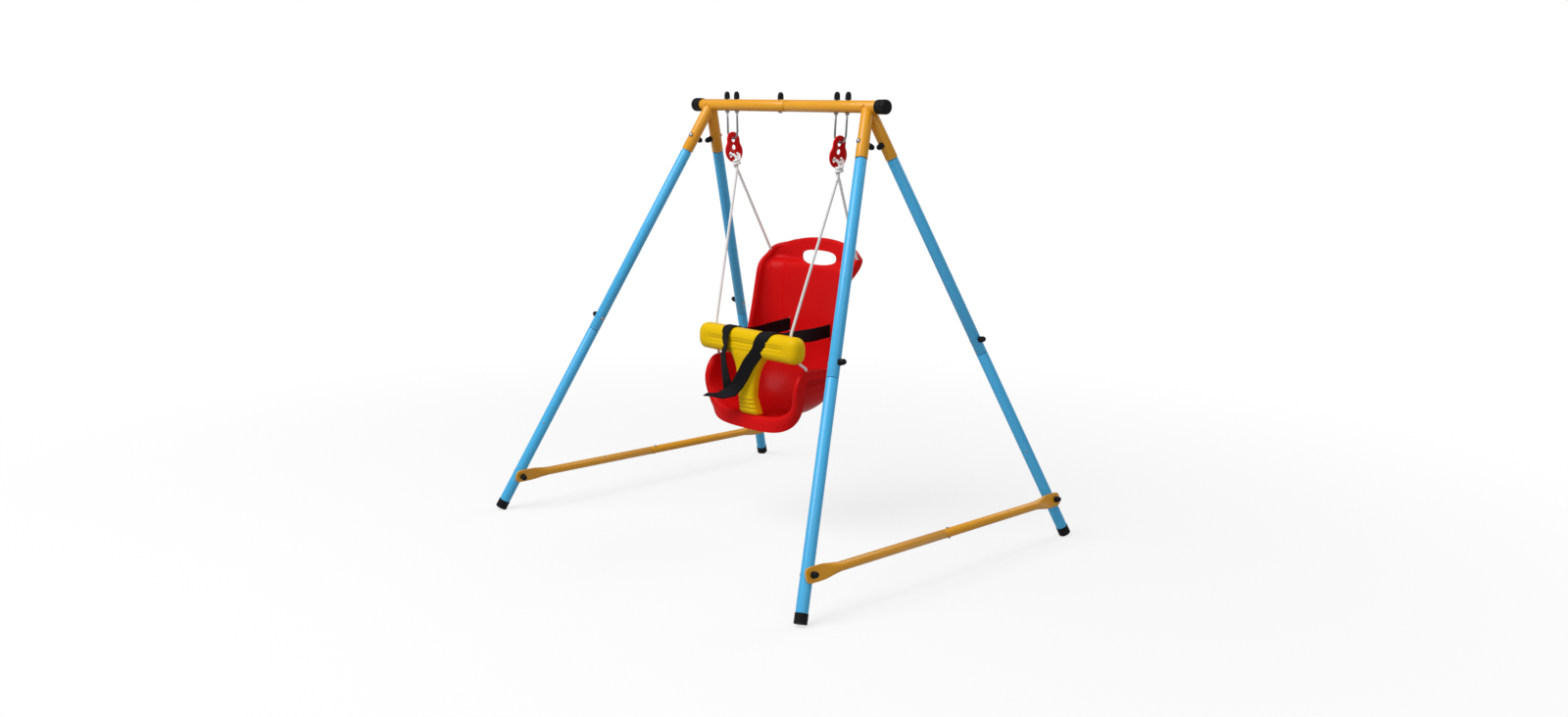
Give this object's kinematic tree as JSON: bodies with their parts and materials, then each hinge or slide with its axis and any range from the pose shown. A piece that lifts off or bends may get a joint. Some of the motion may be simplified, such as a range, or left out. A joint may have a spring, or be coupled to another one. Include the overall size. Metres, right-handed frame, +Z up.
{
  "type": "toddler swing set",
  "caption": "Toddler swing set: a four-legged tube frame with a red bucket seat on white ropes, a yellow lift-up T-bar and a black lap belt.",
  "frame": {"origin": "on the floor under the middle of the top bar", "axes": "+X along the top bar to the right as the picture shows it, -Y the way the seat faces, +Z up"},
  "size_m": [1.335, 1.1308, 1.2718],
  "materials": {
    "yellow_tube": "gloss",
    "blue_tube": "gloss",
    "black_plastic": "matte",
    "zinc_steel": "satin",
    "red_plastic": "satin",
    "yellow_plastic": "satin",
    "white_rope": "matte",
    "black_webbing": "matte"
  },
  "bodies": {
    "frame": {"top_bar_left": "yellow_tube", "top_bar_right": "yellow_tube", "bar_end_cap_left": "black_plastic", "bar_end_cap_right": "black_plastic", "bar_bolt": "zinc_steel", "upper_leg_front_left": "blue_tube", "lower_leg_front_left": "blue_tube", "foot_cap_front_left": "black_plastic", "socket_bolt_front_left": "zinc_steel", "leg_bolt_front_left": "zinc_steel", "crossbar_bolt_front_left": "zinc_steel", "upper_leg_front_right": "blue_tube", "lower_leg_front_right": "blue_tube", "foot_cap_front_right": "black_plastic", "socket_bolt_front_right": "zinc_steel", "leg_bolt_front_right": "zinc_steel", "crossbar_bolt_front_right": "zinc_steel", "upper_leg_rear_left": "blue_tube", "lower_leg_rear_left": "blue_tube", "foot_cap_rear_left": "black_plastic", "socket_bolt_rear_left": "zinc_steel", "leg_bolt_rear_left": "zinc_steel", "crossbar_bolt_rear_left": "zinc_steel", "upper_leg_rear_right": "blue_tube", "lower_leg_rear_right": "blue_tube", "foot_cap_rear_right": "black_plastic", "socket_bolt_rear_right": "zinc_steel", "leg_bolt_rear_right": "zinc_steel", "crossbar_bolt_rear_right": "zinc_steel", "crossbar_left_front": "yellow_tube", "crossbar_left_rear": "yellow_tube", "crossbar_joint_bolt_left": "zinc_steel", "u_bolt_left": "zinc_steel", "u_bolt_nut_left_inner": "black_plastic", "u_bolt_nut_left_outer": "black_plastic", "crossbar_right_front": "yellow_tube", "crossbar_right_rear": "yellow_tube", "crossbar_joint_bolt_right": "zinc_steel", "u_bolt_right": "zinc_steel", "u_bolt_nut_right_inner": "black_plastic", "u_bolt_nut_right_outer": "black_plastic"},
    "swing": {"rope_plate_left": "red_plastic", "rope_plate_right": "red_plastic", "rope_left": "white_rope", "rope_right": "white_rope", "seat_shell": "red_plastic", "belt_rear": "black_webbing"},
    "t_bar_lift": {"t_bar": "yellow_plastic", "belt_front_left": "black_webbing", "belt_front_right": "black_webbing"}
  },
  "joints": [
    {"name": "swing_hinge", "type": "hinge", "parent": "frame", "child": "swing", "pos_m": [0, 0, 1.13413], "axis": [1, 0, 0], "range_deg": [-45, 45]},
    {"name": "t_bar_slide", "type": "slide", "parent": "swing", "child": "t_bar_lift", "axis": [0, 0.2326, 0.9726], "range_m": [0, 0.15], "deforming": ["rope_left", "rope_right", "belt_rear"]}
  ]
}
